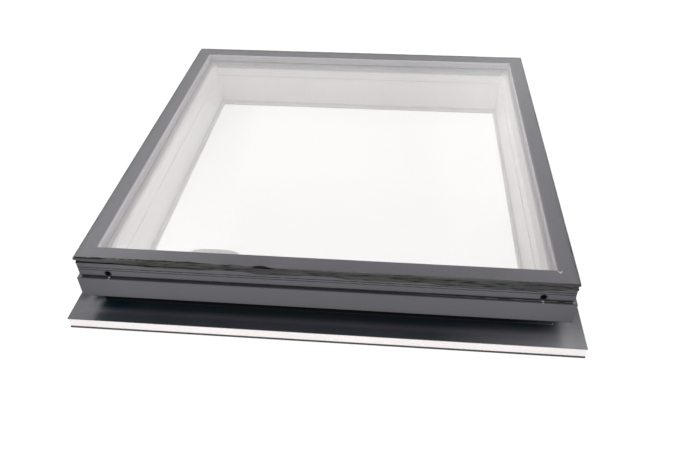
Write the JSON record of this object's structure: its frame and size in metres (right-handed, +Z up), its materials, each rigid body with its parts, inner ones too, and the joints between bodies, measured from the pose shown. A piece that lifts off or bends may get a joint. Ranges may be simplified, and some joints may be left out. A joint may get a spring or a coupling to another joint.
{
  "type": "roof skylight",
  "caption": "Fixed flat-roof skylight: double-glazed unit with a dark border in a grooved sash, on a white kerb with a dark fascia and flange.",
  "frame": {"origin": "middle of the underside of the base", "axes": "+Z up through the glass, -Y towards the front, +X to the right"},
  "size_m": [1.072, 1.072, 0.1703],
  "materials": {
    "clear_glass": "clear, polished",
    "printed_grey": "dark grey ceramic print, smooth",
    "spacer_grey": "satin grey",
    "black_sealant": "tooled silicone",
    "powder_grey": "satin powder coat",
    "white_pvc": "satin white",
    "mill_aluminium": "mill",
    "screw_steel": "blackened",
    "black_rubber": "matt",
    "pale_seal": "soft white",
    "dark_foam": "closed-cell foam",
    "white_tape": "glazing tape",
    "hard_plastic": "moulded"
  },
  "bodies": {
    "root": {"outer_pane": "clear_glass", "inner_pane": "clear_glass", "frit_border": "printed_grey", "spacer_front": "spacer_grey", "spacer_right": "spacer_grey", "spacer_back": "spacer_grey", "spacer_left": "spacer_grey", "spacer_keys": "spacer_grey", "unit_seal": "black_sealant", "glazing_bead": "black_sealant", "sash_front": "powder_grey", "sash_right": "powder_grey", "sash_back": "powder_grey", "sash_left": "powder_grey", "fascia_front": "powder_grey", "fascia_right": "powder_grey", "fascia_back": "powder_grey", "fascia_left": "powder_grey", "flange_sheet_front": "powder_grey", "flange_sheet_right": "powder_grey", "flange_sheet_back": "powder_grey", "flange_sheet_left": "powder_grey", "liner_front": "white_pvc", "liner_right": "white_pvc", "liner_back": "white_pvc", "liner_left": "white_pvc", "kerb_front": "white_pvc", "kerb_right": "white_pvc", "kerb_back": "white_pvc", "kerb_left": "white_pvc", "sash_cleats": "mill_aluminium", "fascia_cleats": "mill_aluminium", "sash_screws": "screw_steel", "cap_screws": "screw_steel", "weather_seal_front": "black_rubber", "weather_seal_right": "black_rubber", "weather_seal_back": "black_rubber", "weather_seal_left": "black_rubber", "inner_seal": "pale_seal", "base_tape_front": "dark_foam", "base_tape_right": "dark_foam", "base_tape_back": "dark_foam", "base_tape_left": "dark_foam", "pane_tape": "white_tape", "setting_blocks": "hard_plastic"}
  },
  "joints": []
}
